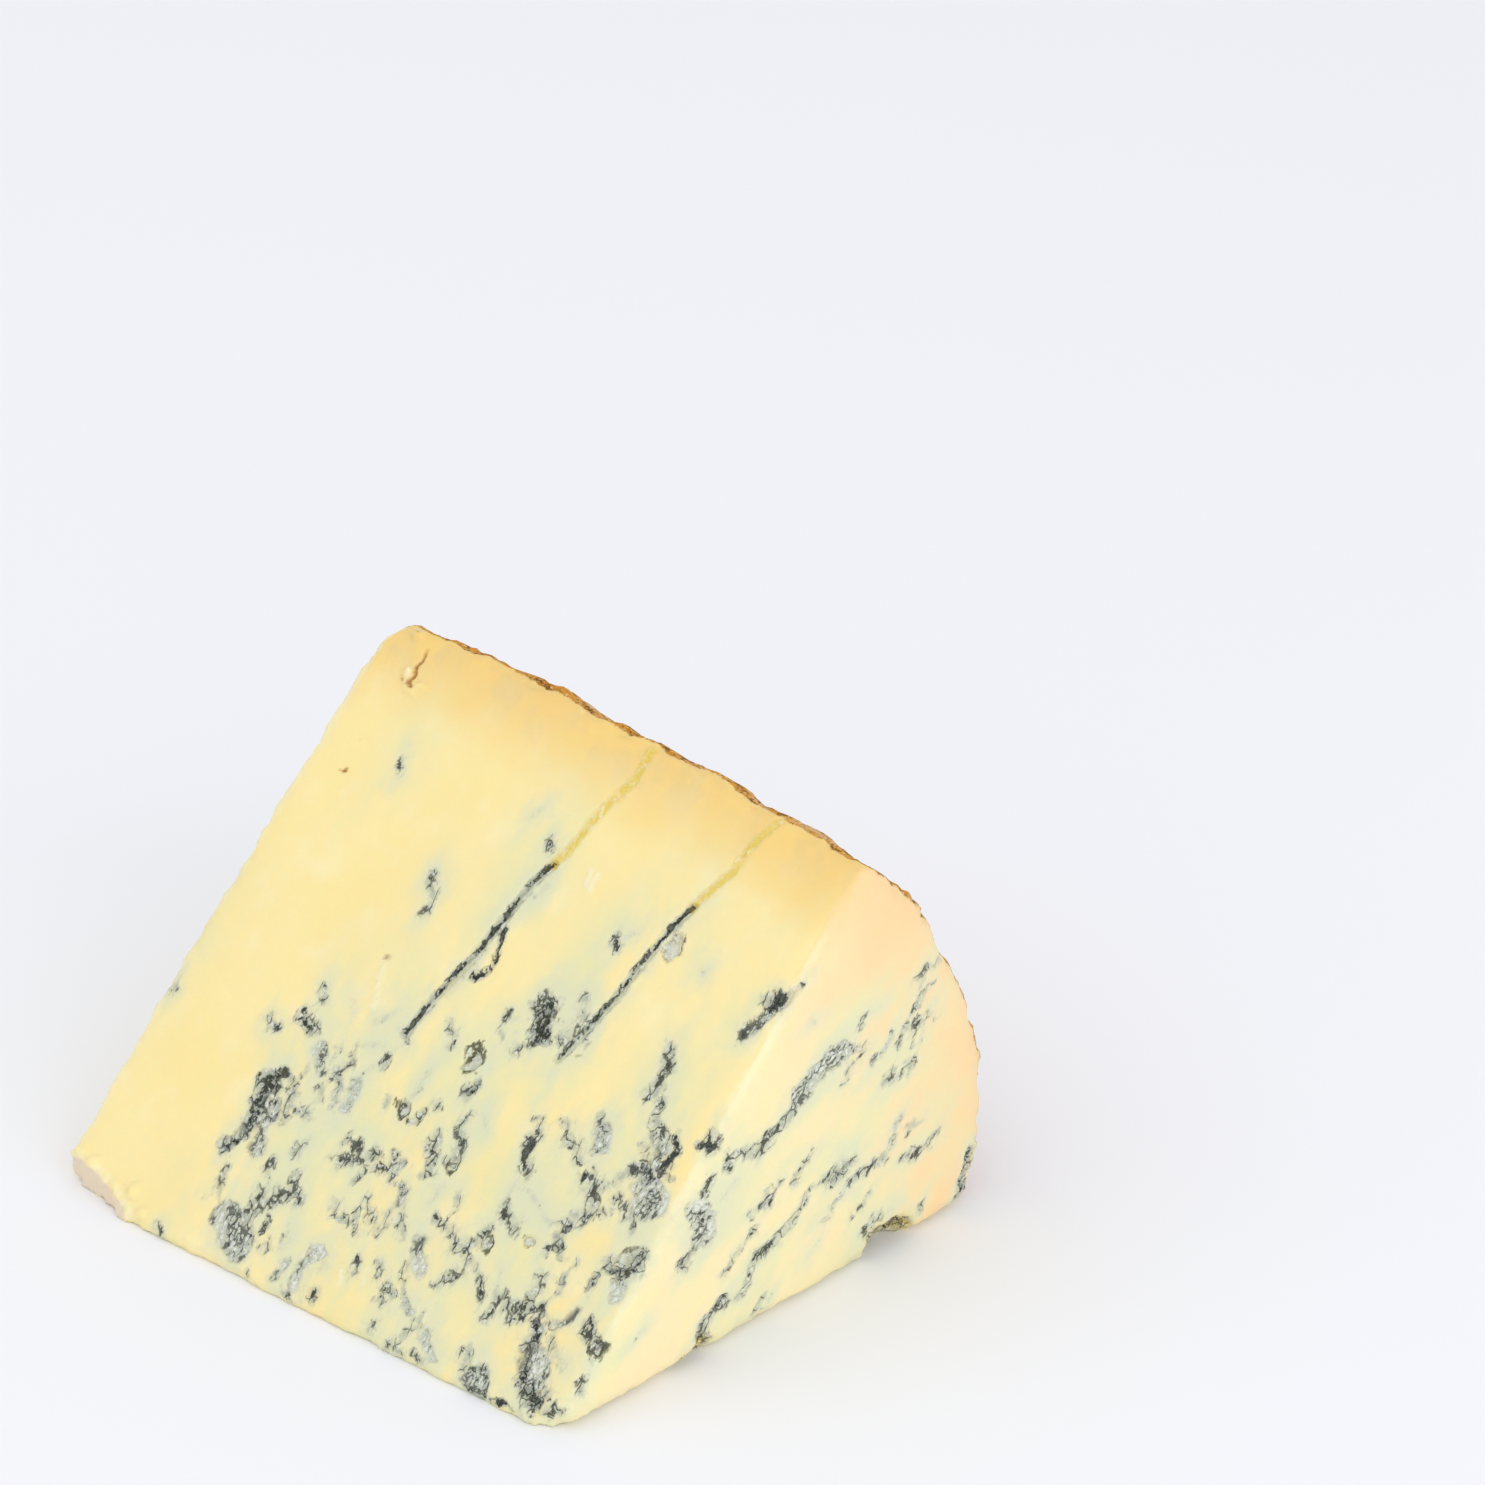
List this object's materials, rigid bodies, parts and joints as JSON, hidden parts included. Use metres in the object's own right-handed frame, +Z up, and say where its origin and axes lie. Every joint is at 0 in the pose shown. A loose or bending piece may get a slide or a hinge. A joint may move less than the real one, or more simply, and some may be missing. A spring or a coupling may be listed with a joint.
{
  "type": "blue cheese wedge",
  "caption": "Wedge of blue-veined cheese cut from a drum-shaped wheel, lying on one long cut face, with its rind on the curved back.",
  "frame": {"origin": "middle of the wedge's box, on the surface that it rests on", "axes": "+X along the wheel's axis, from the end with the broken corner to the end cut last; +Y from the thin edge out to the rind; +Z up"},
  "size_m": [0.1156, 0.1048, 0.077],
  "materials": {
    "cheese_paste": "pale yellow blue-veined cheese paste with a soft moist sheen, and a dry brown rind on the curved back"
  },
  "bodies": {
    "root": {"cheese_wedge": "cheese_paste"}
  },
  "joints": []
}
